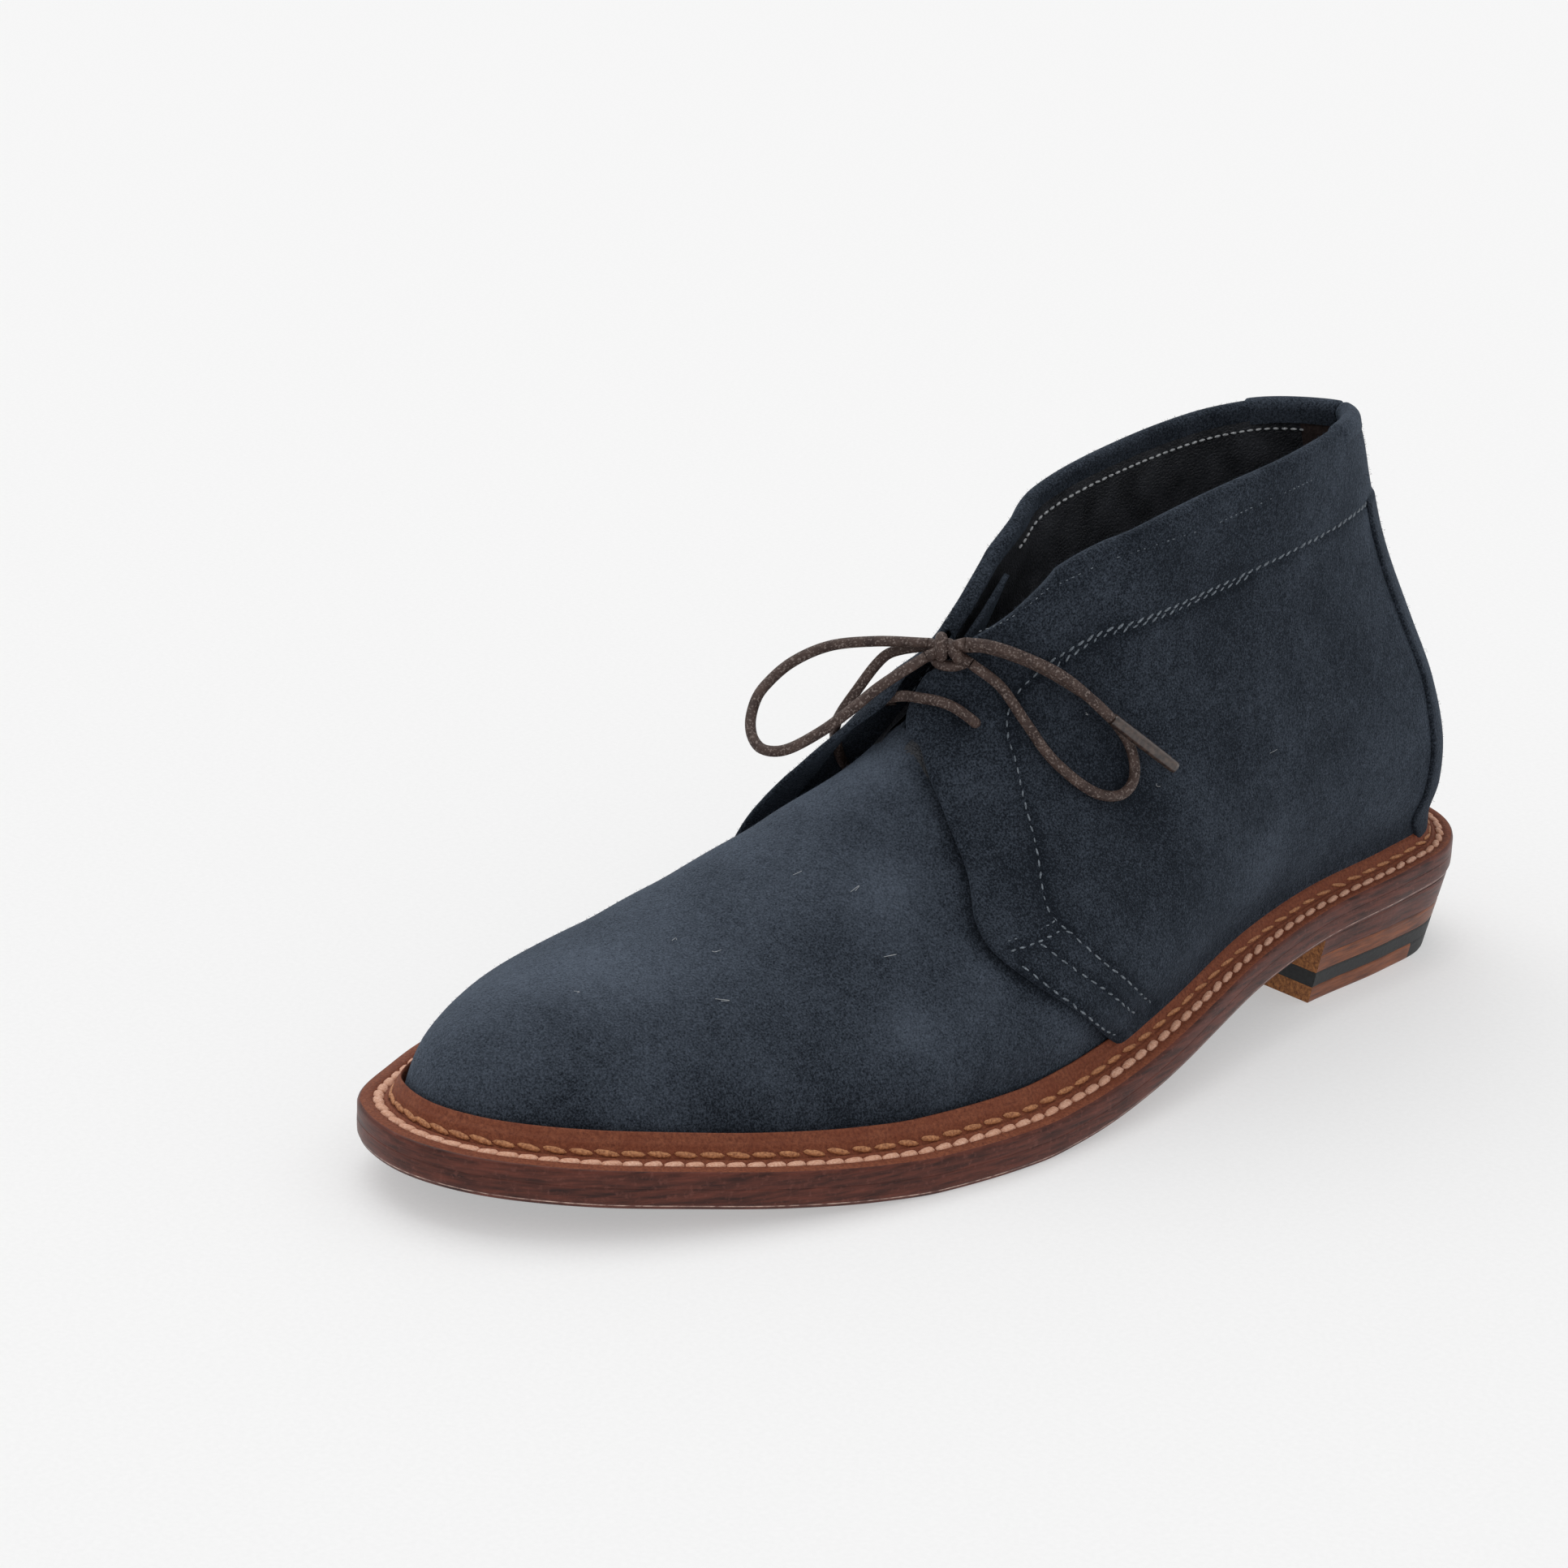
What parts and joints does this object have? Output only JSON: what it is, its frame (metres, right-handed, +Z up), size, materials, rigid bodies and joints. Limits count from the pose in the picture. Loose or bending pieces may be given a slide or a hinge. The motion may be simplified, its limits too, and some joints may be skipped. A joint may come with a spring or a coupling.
{
  "type": "chukka boot",
  "caption": "Left ankle-high suede chukka boot with a bow-tied round lace, stitched storm welt, leather outsole and stacked heel, empty and standing upright.",
  "frame": {"origin": "on the floor under the heel: x = 0 is the middle of the heel, y = 0 is 40 mm in front of the sole's back edge, z = 0 is the floor", "axes": "+Z up, -Y towards the toe, +X towards the outer (lateral) side of the left foot"},
  "size_m": [0.1127, 0.302, 0.132],
  "materials": {
    "suede": "navy suede with a soft nap, matt",
    "lining_leather": "smooth charcoal lining leather",
    "welt_leather": "undyed tan welt leather, dry",
    "sole_leather": "burgundy-brown waxed edge",
    "heel_leather": "stacked leather, waxed edge",
    "heel_rubber": "black, matt",
    "lace": "waxed round braid, brown-grey",
    "aglet": "clear film, glossy"
  },
  "bodies": {
    "root": {"outsole": "sole_leather", "welt": "welt_leather", "insole": "lining_leather", "heel_top_piece": "heel_leather", "heel_rubber_tip": "heel_rubber", "heel_rubber_layer": "heel_rubber", "heel_lift": "heel_leather", "heel_wedge": "heel_leather", "upper": "suede", "quarter_outer": "suede", "quarter_inner": "suede", "backstay": "suede", "tongue": "suede", "lace_bar": "lace", "lace_knot": "lace", "lace_loop_inner": "lace", "lace_loop_outer": "lace", "lace_end_outer": "lace", "aglet_outer": "aglet", "lace_end_inner": "lace", "aglet_inner": "aglet"}
  },
  "joints": []
}
